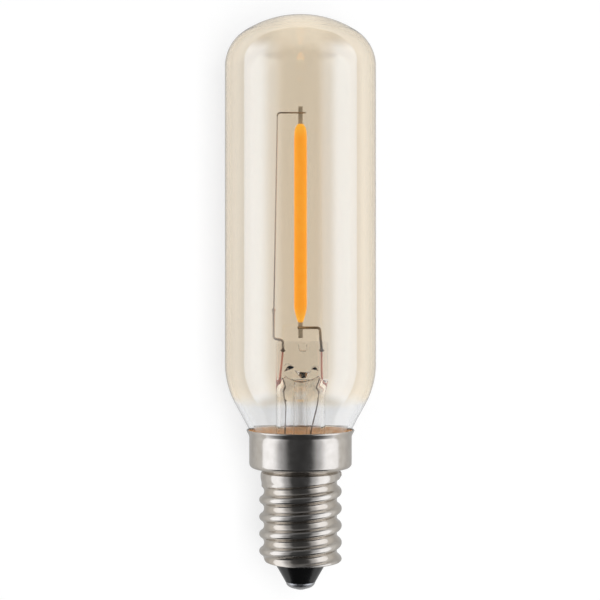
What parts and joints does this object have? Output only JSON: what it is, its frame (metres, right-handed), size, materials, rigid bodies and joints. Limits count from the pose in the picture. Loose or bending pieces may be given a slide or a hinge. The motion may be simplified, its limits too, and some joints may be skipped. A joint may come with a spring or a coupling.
{
  "type": "led light bulb",
  "caption": "Slim tubular LED filament lamp: clear glass tube with an amber coat, filament on a glass stem, and a nickel-plated small Edison screw cap.",
  "frame": {"origin": "lowest point of the centre contact's solder, on the lamp's axis", "axes": "+Z along the axis from the cap to the crown, +X towards the support wire on the right of the picture, -Y towards the camera"},
  "size_m": [0.025, 0.025, 0.095],
  "materials": {
    "amber_glass": "clear blown glass with an amber coat",
    "clear_glass": "clear drawn glass",
    "phosphor": "orange silicone with phosphor, satin",
    "ceramic_strip": "white ceramic strip, matt",
    "led_die": "polished semiconductor",
    "terminal_steel": "plated steel strip",
    "nickel_wire": "drawn nickel wire",
    "seal_wire": "copper-clad wire, borated red",
    "lead_wire": "tinned wire",
    "cement": "baked brown cement, matt",
    "nickel_shell": "bright nickel plate on rolled brass",
    "black_glass": "glossy black glass",
    "contact_metal": "nickel-plated brass",
    "solder": "tin solder, dull",
    "board": "green circuit board",
    "package": "moulded black package",
    "capacitor_can": "sleeved aluminium can",
    "resistor_coat": "lacquered resistor"
  },
  "bodies": {
    "root": {"glass_envelope": "amber_glass", "stem_flare": "clear_glass", "exhaust_tube": "clear_glass", "filament_substrate": "ceramic_strip", "led_chips": "led_die", "phosphor_coating": "phosphor", "upper_terminal": "terminal_steel", "lower_terminal": "terminal_steel", "upper_lead_wire": "nickel_wire", "left_support_wire": "nickel_wire", "right_support_wire": "nickel_wire", "left_seal_wire": "seal_wire", "right_seal_wire": "seal_wire", "left_outer_lead": "lead_wire", "right_outer_lead": "lead_wire", "basing_cement": "cement", "cap_shell": "nickel_shell", "cap_insulator": "black_glass", "centre_contact": "contact_metal", "contact_solder": "solder", "driver_board": "board", "bridge_rectifier": "package", "driver_chip": "package", "smoothing_capacitor": "capacitor_can", "fuse_resistor": "resistor_coat", "live_lead": "lead_wire", "neutral_lead": "lead_wire"}
  },
  "joints": []
}
